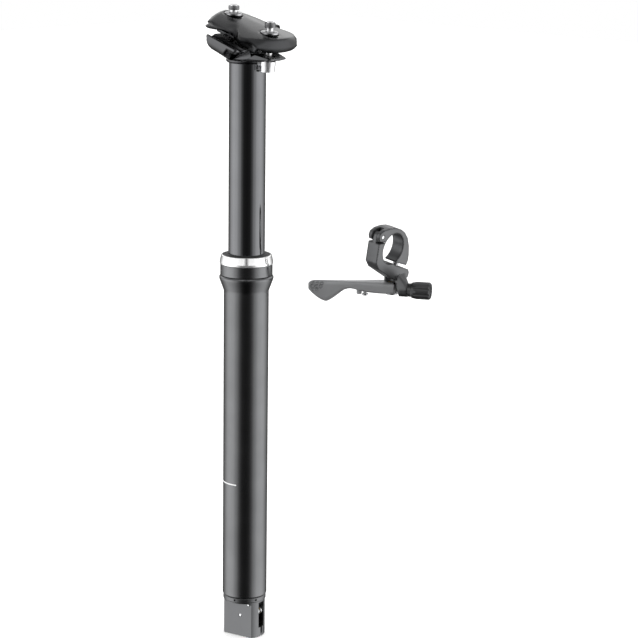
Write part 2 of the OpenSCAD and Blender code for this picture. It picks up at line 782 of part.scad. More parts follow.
// Half outlines of the upper clamp from its back to its front: place along the rails,
// half width, and how round the side rises there
rim_line = [
  [-27.6, 0, 1.4], [-26.2, 8, 1.6], [-22.8, 16, 2], [-18, 23, 2], [-13, 27, 2], [-6, 27.9, 2],
  [0, 27.2, 1.7], [4.8, 24, 1.1], [9, 20.6, 0.8], [12.6, 22.6, 0.9], [16, 26, 1.1], [20.4, 27, 1.2],
  [25.2, 24.4, 1.2], [29.4, 17, 1.2], [32, 7.6, 1.2], [32.6, 0, 1.2]
];
top_line = [
  [-25.4, 0], [-24.2, 4.4], [-21.4, 7.4], [-18, 8.8], [-14.4, 9], [-10.4, 9],
  [-6, 9.4], [-1.5, 11.2], [4, 15], [10, 19.6], [14.4, 22.8], [18.4, 23.2],
  [23, 18.6], [27.4, 12], [29.9, 5], [30.4, 0]
];
rim_levels = [0.14, 0.3, 0.48, 0.66, 0.82, 0.94, 1];
rim_width = 55.8;

// Share of the way from rim to top outline at height share t
function draw_in(t, p) = 1 - pow(1 - pow(t, p), 1 / p);

// A soft step from 0 to 1
function ease(u) = let (v = min(max(u, 0), 1)) v * v * (3 - 2 * v);

// Shares of the skirt's drop and of the lip's rise at a place along the rails
function skirt(x) = ease((x - 3) / 10);
function lip(x) = ease((x + 13) / 15) * (1 - ease((x - 3) / 7));

function clamp_half(t) = curve([
  for (i = [0 : len(rim_line) - 1])
    let (f = draw_in(t, rim_line[i][2]), wide = clamp_w / rim_width)
      [
        rim_line[i][0] * (1 - f) + top_line[i][0] * f,
        wide * (rim_line[i][1] * (1 - f) + top_line[i][1] * f)
      ]
], 3);

// One ring round the clamp: drawn in by two shares, dropped at the front, raised over the rear
// ends of the jaws, tucked in under them and lowered to its sides
function clamp_ring(z, t, along, across, drop, rise, tuck) =
  let (half = clamp_half(t), n = len(half))
    [
      for (i = [0 : 2 * n - 3])
        let (
          k = i < n ? i : 2 * n - 2 - i,
          x = along * half[k][0],
          y = across * half[k][1] * (1 - tuck * lip(x))
        )
          [x, i < n ? -y : y, z - drop * skirt(x) + rise * lip(x) - t * clamp_crown * y * y]
    ];

module upper_clamp() {
  color("#1b1c1e") difference() {
    at_clamp() loft(concat(
      [clamp_ring(jaw_high, 0, 0.96, 0.9, skirt_drop, 0, 0.34)],
      [clamp_ring(jaw_high + 0.6, 0, 1, 1, rim_drop, lip_rise, 0)],
      [
        for (t = rim_levels)
          clamp_ring(jaw_high + clamp_t * t, t, 1, 1, rim_drop * (1 - t), lip_rise * pow(1 - t, 1.6), 0)
      ],
      [for (q = [0.7, 0.4]) clamp_ring(clamp_top, 1, 0.94 + 0.06 * q, q, 0, 0, 0)]
    ));
    at_clamp() for (side = [-1, 1]) {
      // Rail groove, open below
      hull() for (z = [clamp_lift, -8])
        translate([-60, side * rail_y, z]) rotate([0, 90, 0]) cylinder(r = jaw_r, h = 120, $fn = 64);
      // Open to the side at the front
      hull() for (y = [rail_y, rail_y + 9])
        translate([waist_x, side * y, clamp_lift]) rotate([0, 90, 0]) cylinder(r = jaw_r, h = 60, $fn = 64);
    }
    for (end = [0, 1])
      at_bolt(end) {
        translate([0, 0, -20]) cylinder(r = bolt_r + 0.5, h = 30, $fn = 48);
        translate([0, 0, -1.4]) cylinder(r = dish_d / 2 + 0.35, h = 12, $fn = 64);
      }
  }
}

// Bolt pushed up from below: threaded end above the nut, a flange and a socket head under the ear
module clamp_bolt(tip, seat, head_h, flange_h) {
  difference() {
    union() {
      translate([0, 0, seat]) cylinder(r = bolt_r, h = tip - seat - 0.5, $fn = 48);
      translate([0, 0, tip - 0.5]) cylinder(r1 = bolt_r, r2 = bolt_r - 0.5, h = 0.5, $fn = 48);
      translate([0, 0, seat - flange_h]) cylinder(r = flange_r, h = flange_h, $fn = 48);
      translate([0, 0, seat - flange_h - head_h]) cylinder(r = head_bolt_r, h = head_h + 0.1, $fn = 48);
    }
    translate([0, 0, seat - flange_h - head_h - 1]) cylinder(r = 2.4, h = 3.4, $fn = 6);
  }
}

module front_bolt() {
  color("#c8cacc") at_bolt(0) clamp_bolt(8.2, bolt_seat[0] - ear_gap, 4.1, 3);
}

module rear_bolt() {
  color("#c8cacc") at_bolt(1) clamp_bolt(6.8, bolt_seat[1] - ear_gap, 2.2, 0.9);
}

// Dished nut that lets the bolt stand at an angle
module dished_nut() {
  difference() {
    translate([0, 0, -1.35]) rotate_extrude($fn = 64) polygon([
      [0, 0], [dish_d / 2 - 1.3, 0], [dish_d / 2, 1.2], [dish_d / 2, 2.2],
      [dish_d / 2 - 0.6, 2.8], [bolt_r + 1.6, 3.1], [0, 3.1]
    ]);
    translate([0, 0, -5]) cylinder(r = bolt_r + run_gap, h = 10, $fn = 48);
  }
}

module front_nut() {
  color("#d2d4d6") at_bolt(0) dished_nut();
}

module rear_nut() {
  color("#d2d4d6") at_bolt(1) dished_nut();
}

// Side outline of the bar clamp seen along the bar, x and height
bracket_line = [
  [-16.5, 5.6], [-16.5, -8.5], [-12.5, -13.3], [6.5, -23.6], [18.4, -25.4], [22, -23], [22.4, -20.4],
  [21, -17.8], [18.4, -16.8], [5, -12.8], [0, -bar_r + 2], [-4, 5.6]
];

module bar_profile(line, soft) {
  offset(r = soft, $fn = 24) offset(delta = -soft) polygon(line);
}

module band_extrude(width) {
  translate([0, width, 0]) rotate([90, 0, 0]) linear_extrude(width) children();
}

module remote_bracket() {
  color("#232426") difference() {
    union() {
      at_remote() band_extrude(clamp_band) bar_profile(bracket_line, 1);
      // Tongue of the hinge
      at_remote() translate([0, clamp_band / 2 - tongue_half, 0]) band_extrude(2 * tongue_half) hull() {
        translate(hinge_at) circle(r = hinge_r + 1.8, $fn = 32);
        translate([hinge_at[0], 3]) circle(r = 3, $fn = 32);
      }
      // Arm over the lever's hub
      hull() {
        at_lever() translate([thumb_pivot[0], thumb_pivot[1], hub_top + 0.4]) cylinder(r = hub_r, h = 3, $fn = 32);
        at_remote() translate([8, 2, -22]) cube([9, clamp_band - 3, 4]);
      }
      // Adjuster's housing
      hull() {
        at_lever() translate([housing_in, 0, 0]) rotate([0, -90, 0])
          cylinder(r = housing_r2, h = housing_in - housing_out, $fn = 48);
        at_remote() translate([10, 0.4, -23]) cube([8, clamp_band - 4, 3]);
      }
    }
    at_remote() translate([0, -20, 0]) rotate([-90, 0, 0]) cylinder(r = bar_r, h = 60, $fn = 96);
    // Hinge: room for the cap's fork and the pin's hole
    at_remote() for (y = [-1, clamp_band / 2 + tongue_half])
      translate([hinge_at[0], y, hinge_at[1]]) rotate([-90, 0, 0])
        cylinder(r = hinge_r + 2.5, h = clamp_band / 2 - tongue_half + 1, $fn = 48);
    at_remote() translate([hinge_at[0], -1, hinge_at[1]]) rotate([-90, 0, 0])
      cylinder(r = hinge_r + run_gap, h = clamp_band + 2, $fn = 32);
    // Clamp bolt's hole and head recess
    at_remote() translate([band_bolt_at[0], clamp_band / 2, band_bolt_at[1]]) rotate([0, -split_angle, 0]) {
      translate([0, 0, -30]) cylinder(r = band_bolt_r + 0.3, h = 40, $fn = 32);
      translate([0, 0, -30]) cylinder(r = 3.8, h = 23.5, $fn = 32);
    }
    // Room for the lever's near end and its hub
    at_lever() translate([housing_in + 0.8, -9, -6]) cube([8, 11.9, 10.8]);
    at_lever() translate([thumb_pivot[0], thumb_pivot[1], hub_foot - 5])
      cylinder(r = hub_r + 0.5, h = hub_top + 0.4 - hub_foot + 5, $fn = 64);
    at_lever() translate([thumb_pivot[0], thumb_pivot[1], -10]) cylinder(r = thumb_pin_r + seat_gap, h = 16, $fn = 32);
    // Adjuster's thread and the cable's hole
    at_lever() translate([insert_in + 0.2, 0, 0]) rotate([0, -90, 0]) cylinder(r = insert_r + run_gap, h = 20, $fn = 48);
    at_lever() translate([20, 0, 0]) rotate([0, -90, 0]) cylinder(r = 1, h = 30, $fn = 24);
  }
}

// Outer outline of the hinged cap, clockwise from the hinge over the top
cap_line = [
  [-17.6, 10.2], [-16.6, 12.9], [-12.6, 14.7], [-6, 15.4], [0, 14.9], [5.6, 13.3], [10.6, 10.4], [14.6, 6],
  [17.4, 0], [18.8, -6.4], [19, -10.6], [17.8, -14.3], [5.6, -10.6], [0, 0], [-7, 4.4], [-11, 6.4], [-16.4, 7.2]
];

module remote_cap() {
  color("#232426") at_remote() difference() {
    band_extrude(clamp_band) bar_profile(cap_line, 0.8);
    translate([0, -20, 0]) rotate([-90, 0, 0]) cylinder(r = bar_r, h = 60, $fn = 96);
    // Slot for the bracket's tongue
    translate([hinge_at[0] - 10, clamp_band / 2 - tongue_half - 0.2, 0])
      cube([10 + hinge_r + 2.4, 2 * tongue_half + 0.4, 20]);
    translate([hinge_at[0], -1, hinge_at[1]]) rotate([-90, 0, 0])
      cylinder(r = hinge_r + run_gap, h = clamp_band + 2, $fn = 32);
    translate([band_bolt_at[0], clamp_band / 2, band_bolt_at[1]]) rotate([0, -split_angle, 0])
      cylinder(r = band_bolt_r + 0.45, h = 10.4, $fn = 32);
  }
}

module remote_hinge_pin() {
  color("#cfd1d3") at_remote() translate([hinge_at[0], 0.1, hinge_at[1]]) rotate([-90, 0, 0])
    cylinder(r = hinge_r, h = clamp_band - 0.2, $fn = 32);
}

module remote_bolt() {
  color("#55575a") at_remote() translate([band_bolt_at[0], clamp_band / 2, band_bolt_at[1]])
    rotate([0, -split_angle, 0]) difference() {
      union() {
        translate([0, 0, -9]) cylinder(r = band_bolt_r, h = 18.5, $fn = 32);
        translate([0, 0, -10.4]) cylinder(r = 3.5, h = 3.8, $fn = 32);
      }
      translate([0, 0, -12]) cylinder(r = 1.6, h = 3.6, $fn = 6);
    }
}

// Stations along the thumb lever: place, top, underside, near side, far side
thumb_reach = 66.5;
pad_drop = 11.1;
thumb_stations = [
  [5, 4.3, -3.6, 1.9, -8], [10, 4.4, -3.9, 2.4, -11], [16, 4.5, -3.9, 2.6, -11.6], [22, 4.3, -3.6, 2.6, -9.8],
  [28, 4.1, -2.9, 2.5, -7.4], [32, 4, -1.9, 2.4, -6.2], [35.6, 3.9, -1.3, 2.3, -5.4], [40, 3.8, -2.2, 2.2, -4.6],
  [44, 3.7, -5.2, 2.1, -4], [48, 3.6, -8.4, 2, -3.4], [52, 3.5, -10.9, 1.9, -2.9], [54.6, 3.4, -11.1, 1.8, -2.6],
  [58.6, 3.3, -9.4, 1.7, -2.3], [62, 3.1, -7, 1.6, -2], [64.6, 2.4, -4.9, 1.4, -1.8], [66, 1.2, -3.2, 1, -1.4]
];

function thumb_ring(s) =
  let (
    along = s[0] * paddle_reach / thumb_reach,
    low = s[2] < -4 ? s[2] * (paddle_drop - 3.5) / pad_drop : s[2],
    mid_y = (s[3] + s[4]) / 2,
    mid_z = (s[1] + low) / 2,
    half_y = (s[3] - s[4]) / 2,
    half_z = (s[1] - low) / 2
  ) [
    for (k = [0 : 15])
      let (c = cos(k * 22.5 + 11.25), d = sin(k * 22.5 + 11.25))
        [along, mid_y + half_y * sign(c) * pow(abs(c), 0.45), mid_z + half_z * sign(d) * pow(abs(d), 0.45)]
  ];

dimple_rows = [[62.2, 1.4, 3], [63, -0.9, 3], [62.4, -3.2, 2]];

module thumb_lever() {
  color("#222325") at_lever() difference() {
    union() {
      loft([for (s = curve(thumb_stations, 2)) thumb_ring(s)]);
      translate([thumb_pivot[0], thumb_pivot[1], hub_foot]) cylinder(r = hub_r, h = hub_top - hub_foot, $fn = 64);
      // Lug for the cable screw
      translate([screw_at[0] + 4.3, 0.2, -4.6]) cylinder(r = 1.8, h = 5, $fn = 32);
    }
    // Bushing's bore and the spring's ring-shaped room
    translate([thumb_pivot[0], thumb_pivot[1], hub_foot - 1])
      cylinder(r = thumb_pin_r + bushing_wall + seat_gap, h = 20, $fn = 48);
    translate([thumb_pivot[0], thumb_pivot[1], hub_top - 3.4])
      cylinder(r = thumb_pin_r + bushing_wall + 1.5, h = 10, $fn = 48);
    // Room beside the adjuster's housing
    translate([housing_in + 0.4, 0, 0]) rotate([0, -90, 0]) cylinder(r = housing_r2 + 0.6, h = 20, $fn = 48);
    // Cable screw's thread
    translate([screw_at[0], screw_at[1], -10]) cylinder(r = 1.25 + run_gap, h = 10.5, $fn = 24);
    // Dimples on the thumb pad
    for (row = dimple_rows, k = [0 : row[2] - 1])
      translate([row[0] * paddle_reach / thumb_reach - 3 * k, 1.7, row[1]]) scale([1, 0.55, 1]) sphere(r = 1.15, $fn = 24);
  }
}

module thumb_pivot_pin() {
  color("#2e3033") at_lever() translate([thumb_pivot[0], thumb_pivot[1], 0]) difference() {
    union() {
      translate([0, 0, hub_foot - 0.3]) cylinder(r = thumb_pin_r, h = 5.9 - hub_foot, $fn = 32);
      translate([0, 0, hub_foot - 1.1]) cylinder(r = 4, h = 0.9, $fn = 48);
    }
    translate([0, 0, hub_foot - 3]) cylinder(r = 1.5, h = 3, $fn = 6);
  }
}

module pivot_bushing() {
  color("#a88a46") at_lever() translate([thumb_pivot[0], thumb_pivot[1], 0])
    ring(thumb_pin_r + bushing_wall, thumb_pin_r + run_gap, hub_foot + 0.02, hub_top - 0.1, $fn = 48);
}

// Torsion spring in the hub, one unbroken wire
spring_turns = 3;
spring_wire = 0.3;

module thumb_spring() {
  coil_r = thumb_pin_r + bushing_wall + 0.8;
  rise = 0.85;
  steps = spring_turns * 12;
  color("#b7b9bb") at_lever() translate([thumb_pivot[0], thumb_pivot[1], hub_top - 3])
    loft([
      for (i = [0 : steps])
        let (turn = i * 30, z = rise * i / 12)
          [
            for (k = [0 : 5])
              let (r = coil_r + spring_wire * cos(k * 60))
                [r * cos(turn), r * sin(turn), z + spring_wire * sin(k * 60)]
          ]
    ]);
}

module cable_screw() {
  color("#c4c6c8") at_lever() translate([screw_at[0], screw_at[1], 0]) difference() {
    union() {
      translate([0, 0, -4.8]) cylinder(r = 1.25, h = 5, $fn = 24);
      translate([0, 0, -5.4]) cylinder(r = 2.1, h = 1.3, $fn = 32);
    }
    translate([0, 0, -6.4]) cylinder(r = 0.9, h = 1.8, $fn = 6);
  }
}

module adjuster_insert() {
  tail = knob_near - knob_len + 0.4;
  color("#c6c8ca") at_lever() rotate([0, -90, 0]) difference() {
    translate([0, 0, -insert_in]) cylinder(r = insert_r, h = insert_in - tail, $fn = 48);
    translate([0, 0, -tail - 7]) cylinder(r = seat_bore_r, h = 8, $fn = 48);
    translate([0, 0, -20]) cylinder(r = 1, h = 60, $fn = 24);
  }
}

module adjuster_knob() {
  flutes = 10;
  color("#202123") at_lever() rotate([0, -90, 0]) translate([0, 0, -knob_near]) difference() {
    rotate_extrude($fn = 80) polygon([
      [insert_r + run_gap, 0], [knob_r - 1.5, 0], [knob_r - 1.3, 2], [knob_r - 0.6, 2.8],
      [knob_r, 6], [knob_r, knob_len - 1], [knob_r - 0.9, knob_len], [insert_r + run_gap, knob_len]
    ]);
    for (k = [0 : flutes - 1])
      rotate([0, 0, k * 360 / flutes]) translate([knob_r + 0.75, 0, 4]) cylinder(r = 1.35, h = knob_len, $fn = 24);
  }
}

outer_tube();
collar_nut();
accent_ring();
wiper_seal();
upper_bushing();
collar_oring();
topout_bumper();
lock_ring();
actuator_housing();
lever_pivot_pin();
lever_stop_pin();
gas_rod();
main_piston();
actuator_lever();
cable_anchor();
anchor_grub_screw();
valve_pin();
stanchion();
guide_ring();
anti_rotation_keys();
gas_cylinder();
cylinder_gland();
cylinder_cap();
floating_piston();
head();
cartridge_bolt();
lower_cradle();
upper_clamp();
front_bolt();
rear_bolt();
front_nut();
rear_nut();
remote_bracket();
remote_cap();
remote_hinge_pin();
remote_bolt();
thumb_lever();
thumb_pivot_pin();
pivot_bushing();
thumb_spring();
cable_screw();
adjuster_insert();
adjuster_knob();
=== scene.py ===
# %% [markdown]
# # A dropper seatpost and its thumb remote
#
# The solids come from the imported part. This script gives them their finishes, the small details that only
# the eye needs, a white studio and the camera. Everything is in metres, with +Z up along the post.

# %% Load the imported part
import json
import math

import bmesh
import bpy
from mathutils import Matrix, Vector

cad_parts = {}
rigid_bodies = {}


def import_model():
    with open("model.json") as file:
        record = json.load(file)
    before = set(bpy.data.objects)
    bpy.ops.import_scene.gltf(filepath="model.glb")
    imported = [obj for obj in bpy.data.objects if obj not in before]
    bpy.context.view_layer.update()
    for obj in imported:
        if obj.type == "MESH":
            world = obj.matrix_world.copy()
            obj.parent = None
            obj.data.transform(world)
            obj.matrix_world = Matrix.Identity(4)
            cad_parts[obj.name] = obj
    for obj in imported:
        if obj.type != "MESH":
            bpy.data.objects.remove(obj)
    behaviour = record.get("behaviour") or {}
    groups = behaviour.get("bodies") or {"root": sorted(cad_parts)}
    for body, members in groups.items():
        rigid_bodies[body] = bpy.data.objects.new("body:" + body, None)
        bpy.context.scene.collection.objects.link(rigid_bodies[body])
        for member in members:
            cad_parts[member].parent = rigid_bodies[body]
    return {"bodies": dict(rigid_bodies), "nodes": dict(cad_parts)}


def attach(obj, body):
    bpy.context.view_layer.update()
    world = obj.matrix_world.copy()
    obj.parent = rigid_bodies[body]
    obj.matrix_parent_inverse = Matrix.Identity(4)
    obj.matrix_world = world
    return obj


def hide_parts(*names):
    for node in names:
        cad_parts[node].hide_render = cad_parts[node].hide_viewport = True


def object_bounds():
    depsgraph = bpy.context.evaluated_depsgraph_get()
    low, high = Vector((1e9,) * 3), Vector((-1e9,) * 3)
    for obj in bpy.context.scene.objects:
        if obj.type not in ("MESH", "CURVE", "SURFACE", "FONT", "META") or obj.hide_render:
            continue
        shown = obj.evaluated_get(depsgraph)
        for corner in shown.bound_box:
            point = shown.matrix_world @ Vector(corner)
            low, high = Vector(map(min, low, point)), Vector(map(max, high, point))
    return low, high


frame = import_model()
cad_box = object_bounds()
nodes = frame["nodes"]


# %% [markdown]
# ## The camera
#
# A long lens about 1.5 m away, 0.3 m above the collar and looking down 12.4 degrees. The post's upright
# silhouettes and the widths of its tubes at several heights gave these numbers: a lens this long keeps the
# tubes nearly parallel, and the small roll is the post's own lean in the picture. A constraint could aim the
# camera, but a matrix made of its three directions also holds the roll.

# %% Camera
to_viewer = Vector((0.725, -0.688, 0)).normalized()
to_right = Vector((0.688, 0.725, 0)).normalized()
CAMERA_REACH = 1.465
CAMERA_HEIGHT = 0.3024
SENSOR_WIDTH = 36
# The focal length, the picture's width and how far the post stands from its middle, all in pixels
FOCAL_PIXELS = 2183
PICTURE_PIXELS = 638
ASIDE_PIXELS = 74.6
PITCH = math.radians(12.4)
PAN = math.atan(ASIDE_PIXELS / FOCAL_PIXELS)
ROLL = math.radians(0.76)

look_flat = to_right * math.sin(PAN) - to_viewer * math.cos(PAN)
side = to_right * math.cos(PAN) + to_viewer * math.sin(PAN)
look = look_flat * math.cos(PITCH) - Vector((0, 0, math.sin(PITCH)))
lift = look_flat * math.sin(PITCH) + Vector((0, 0, math.cos(PITCH)))
right_edge = side * math.cos(ROLL) + lift * math.sin(ROLL)
top_edge = lift * math.cos(ROLL) - side * math.sin(ROLL)
camera_spot = to_viewer * CAMERA_REACH + Vector((0, 0, CAMERA_HEIGHT))

camera_data = bpy.data.cameras.new("camera")
camera_data.sensor_width = SENSOR_WIDTH
camera_data.lens = FOCAL_PIXELS / PICTURE_PIXELS * SENSOR_WIDTH
camera_data.clip_start = 0.05
camera = bpy.data.objects.new("camera", camera_data)
scene = bpy.context.scene
scene.collection.objects.link(camera)
place = Matrix.Identity(4)
for row in range(3):
    for column, way in enumerate((right_edge, top_edge, -look, camera_spot)):
        place[row][column] = way[row]
camera.matrix_world = place
scene.camera = camera
print("lens", round(camera_data.lens, 1), "mm")


# %% [markdown]
# ## The floor
#
# The part stands on a white sweep that shows only its soft shadow. A curved backdrop could be modelled, but a
# flat plane does as well here: it glows a little for the camera, so it stays white, and reflections pass
# through it, so that the metal mirrors the studio alone.

# %% Meshes and nodes
def link_mesh(name, mesh):
    piece = bpy.data.objects.new(name, mesh)
    scene.collection.objects.link(piece)
    return piece


def add(tree, kind, sockets=None, **values):
    node = tree.nodes.new(kind)
    for key, value in values.items():
        setattr(node, key, value)
    for label, value in (sockets or {}).items():
        node.inputs[label].default_value = value
    return node


def wire(tree, *pairs):
    for source, target in pairs:
        tree.links.new(source, target)


# Each term is either a socket, which is linked, or a plain value
def feed(tree, sockets, terms):
    for socket, term in zip(sockets, terms):
        if isinstance(term, bpy.types.NodeSocket):
            tree.links.new(term, socket)
        else:
            socket.default_value = term


def number(tree, operation, *terms):
    node = add(tree, "ShaderNodeMath", operation=operation)
    feed(tree, node.inputs, terms)
    return node.outputs["Value"]


print("lowest point of the part", round(cad_box[0][2], 4))

# %% Floor
FLOOR_HALF = 4.0
FLOOR_GAP = 0.0005
FLOOR_PALE = 0.93
FLOOR_GLOW = 0.16

floor_z = cad_box[0][2] - FLOOR_GAP
floor_mesh = bpy.data.meshes.new("floor")
floor_mesh.from_pydata(
    [(x, y, floor_z) for x, y in ((-1, -1), (1, -1), (1, 1), (-1, 1))], [], [(0, 1, 2, 3)])
floor_mesh.transform(Matrix.Diagonal((FLOOR_HALF, FLOOR_HALF, 1, 1)))
floor = link_mesh("floor", floor_mesh)
floor_paint = bpy.data.materials.new("pale_floor")
floor_paint.use_nodes = True
tree = floor_paint.node_tree
paint = tree.nodes["Principled BSDF"]
paint.inputs["Base Color"].default_value = (FLOOR_PALE, FLOOR_PALE, FLOOR_PALE, 1)
paint.inputs["Roughness"].default_value = 0.8
paint.inputs["Emission Color"].default_value = (1, 1, 1, 1)
see_through = add(tree, "ShaderNodeBsdfTransparent")
rays = add(tree, "ShaderNodeLightPath")
bounce = add(tree, "ShaderNodeMixShader")
glow = number(tree, "MULTIPLY", rays.outputs["Is Camera Ray"], FLOOR_GLOW)
wire(tree, (glow, paint.inputs["Emission Strength"]), (rays.outputs["Is Glossy Ray"], bounce.inputs["Fac"]),
     (paint.outputs[0], bounce.inputs[1]), (see_through.outputs[0], bounce.inputs[2]),
     (bounce.outputs[0], tree.nodes["Material Output"].inputs[0]))
floor.data.materials.append(floor_paint)
print("floor at", round(floor_z, 4))


# %% [markdown]
# ## The studio light
#
# A black part on white needs light from its sides. Lamps could give it, but their mirrored ends would show as
# hard edges on the tubes, so the light is painted on the world by direction. The metal mirrors a round cove:
# bright to the left and right, which draws the long pale bands down the tubes, and dark towards the viewer and
# beyond the part, which leaves the middle of each tube nearly black. Further up an overhead light takes over,
# with a narrow dark gap towards the viewer that leaves one thin dark line on the bright ring. High up it is
# dimmer, though only for reflections, and straight below it is dark. The camera itself sees pure white.

# %% Directions and ranges
def vector(tree, operation, *terms):
    node = add(tree, "ShaderNodeVectorMath", operation=operation)
    feed(tree, node.inputs, terms)
    return node.outputs["Value" if operation == "DOT_PRODUCT" else "Vector"]


def height_of(tree, spot):
    split = add(tree, "ShaderNodeSeparateXYZ")
    tree.links.new(spot, split.inputs[0])
    return split.outputs["Z"]


def level_way(tree, spot):
    return vector(tree, "NORMALIZE", vector(tree, "MULTIPLY", spot, (1, 1, 0)))


def mapped(tree, source, low, high, span=(0.0, 1.0), kind="LINEAR"):
    node = add(tree, "ShaderNodeMapRange", {"From Min": span[0], "From Max": span[1], "To Min": low,
                                            "To Max": high}, interpolation_type=kind)
    tree.links.new(source, node.inputs["Value"])
    return node.outputs["Result"]


def eased(tree, source, low, high, span):
    return mapped(tree, source, low, high, span, "SMOOTHSTEP")


def blend(tree, share, first, second):
    node = add(tree, "ShaderNodeMix", data_type="FLOAT")
    feed(tree, (node.inputs[0], *node.inputs[2:4]), (share, first, second))
    return node.outputs[0]


print("the viewer stands towards", [round(part, 3) for part in to_viewer])

# %% Cove
# Angle from the viewer's side, as a share of half a turn, and how bright the cove is there
COVE = ((0.0, 0.02), (0.11, 0.03), (0.17, 0.13), (0.26, 0.5), (0.38, 0.9), (0.5, 1.0), (0.6, 0.85),
        (0.69, 0.45), (0.78, 0.15), (0.87, 0.06), (1.0, 0.05))

world = bpy.data.worlds.new("studio")
scene.world = world
world.use_nodes = True
tree = world.node_tree
tree.nodes.clear()
direction = add(tree, "ShaderNodeTexCoord").outputs["Generated"]
angle = number(tree, "ARCCOSINE", vector(tree, "DOT_PRODUCT", level_way(tree, direction), to_viewer))
share = number(tree, "DIVIDE", angle, math.pi)
cove = add(tree, "ShaderNodeValToRGB")
stops = cove.color_ramp.elements
cove.color_ramp.interpolation = "EASE"
for place, light in COVE[1:-1]:
    stops.new(place).color = (light, light, light, 1)
for end in (0, -1):
    light = COVE[end][1]
    stops[end].color = (light, light, light, 1)
tree.links.new(share, cove.inputs["Fac"])
print("cove stops", len(stops))

# %% World
COVE_LIGHT = 2.0
OVERHEAD_LIGHT = 1.5
GROUND_LIGHT = 0.04
HIGH_LIGHT = 0.4
# Where each part of the light begins and ends. The gap is a share of half a turn, and the others are heights,
# from -1 straight down to 1 straight up
GAP = (0.01, 0.07)
WALL_TOP = (0.03, 0.4)
GROUND = (-0.95, -0.5)
HIGH = (0.35, 0.6)

height = height_of(tree, direction)
rays = add(tree, "ShaderNodeLightPath")
walls = number(tree, "MULTIPLY", cove.outputs["Color"], COVE_LIGHT)
overhead = eased(tree, share, 0.0, OVERHEAD_LIGHT, GAP)
around = blend(tree, eased(tree, height, 0.0, 1.0, WALL_TOP), walls, overhead)
grounded = number(tree, "MULTIPLY", around, eased(tree, height, GROUND_LIGHT, 1.0, GROUND))
dimming = blend(tree, rays.outputs["Is Glossy Ray"], 1.0, eased(tree, height, 1.0, HIGH_LIGHT, HIGH))
studio = add(tree, "ShaderNodeBackground", {"Color": (1, 1, 1, 1)})
backdrop = add(tree, "ShaderNodeBackground", {"Color": (1, 1, 1, 1), "Strength": 1.0})
pick = add(tree, "ShaderNodeMixShader")
sky_out = add(tree, "ShaderNodeOutputWorld")
wire(tree, (number(tree, "MULTIPLY", grounded, dimming), studio.inputs["Strength"]),
     (rays.outputs["Is Camera Ray"], pick.inputs["Fac"]), (studio.outputs[0], pick.inputs[1]),
     (backdrop.outputs[0], pick.inputs[2]), (pick.outputs[0], sky_out.inputs["Surface"]))
scene.view_settings.view_transform = "Standard"
print("world nodes", len(tree.nodes))


# %% [markdown]
# ## Smooth surfaces
#
# The forged and moulded pieces are smooth, but their swept and lofted solids arrive as facets. Subdividing
# them would also soften the crisp edges. So each is shown by a copy of itself that is welded and shaded smooth,
# where an edge stays sharp only if two faces meet at more than the angle given here, in degrees.

# %% Smooth shading
SHARP_ANGLE = {"upper_clamp": 60, "lower_cradle": 35, "head": 35, "thumb_lever": 42, "remote_cap": 32,
               "remote_bracket": 32}
WELD_REACH = 1e-6
body_of = {piece: name for name, piece in frame["bodies"].items()}
shown = dict(nodes)


def smooth_copy(name, angle):
    solid = nodes[name]
    mesh = solid.data.copy()
    if "custom_normal" in mesh.attributes:
        mesh.attributes.remove(mesh.attributes["custom_normal"])
    welded = bmesh.new()
    welded.from_mesh(mesh)
    bmesh.ops.remove_doubles(welded, verts=welded.verts, dist=WELD_REACH)
    welded.to_mesh(mesh)
    welded.free()
    mesh.shade_smooth()
    mesh.set_sharp_from_angle(angle=math.radians(angle))
    piece = link_mesh(name + "_surface", mesh)
    even = piece.modifiers.new("even_shading", "WEIGHTED_NORMAL")
    even.keep_sharp = True
    piece.matrix_world = solid.matrix_world
    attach(piece, body_of[solid.parent])
    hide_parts(name)
    shown[name] = piece


for name, angle in SHARP_ANGLE.items():
    smooth_copy(name, angle)
print("smooth copies", len([n for n in nodes if shown[n] is not nodes[n]]))


# %% [markdown]
# ## Effects that several finishes share
#
# Each effect could be built anew in every material. It is a node group with named sockets instead, so it is
# built once and a finish only sets its own values.

# %% Group helpers
FLOAT, VECTOR = "NodeSocketFloat", "NodeSocketVector"


def make_group(name, inputs, outputs):
    group = bpy.data.node_groups.new(name, "ShaderNodeTree")
    for label, kind, value in inputs:
        group.interface.new_socket(name=label, in_out="INPUT", socket_type=kind).default_value = value
    for label, kind in outputs:
        group.interface.new_socket(name=label, in_out="OUTPUT", socket_type=kind)
    return group, add(group, "NodeGroupInput").outputs, add(group, "NodeGroupOutput").inputs


def object_spot(tree):
    return add(tree, "ShaderNodeTexCoord").outputs["Object"]


def noise(tree, spot, scale, detail, dimensions="3D"):
    node = add(tree, "ShaderNodeTexNoise", {"Detail": detail}, noise_dimensions=dimensions)
    wire(tree, (spot, node.inputs["W" if dimensions == "1D" else "Vector"]), (scale, node.inputs["Scale"]))
    return node.outputs["Fac"]


print("socket kinds", FLOAT, VECTOR)


# %% [markdown]
# ## Grain
#
# Blasting and moulding leave a tooth that is too fine to see as bumps but softens the gloss. An image could
# show it, but noise at the object's own places needs no unwrapping. A second, wide noise lets colour and gloss
# vary a little, as they do on anodised metal.

# %% Fine grain
grain, given, out = make_group(
    "fine_grain", [("Scale", FLOAT, 4000.0), ("Unevenness", FLOAT, 60.0)],
    [("Grain", FLOAT), ("Cloud", FLOAT)])
spot = object_spot(grain)
wire(grain, (noise(grain, spot, given["Scale"], 3), out["Grain"]),
     (noise(grain, spot, given["Unevenness"], 4), out["Cloud"]))
print("group", grain.name)


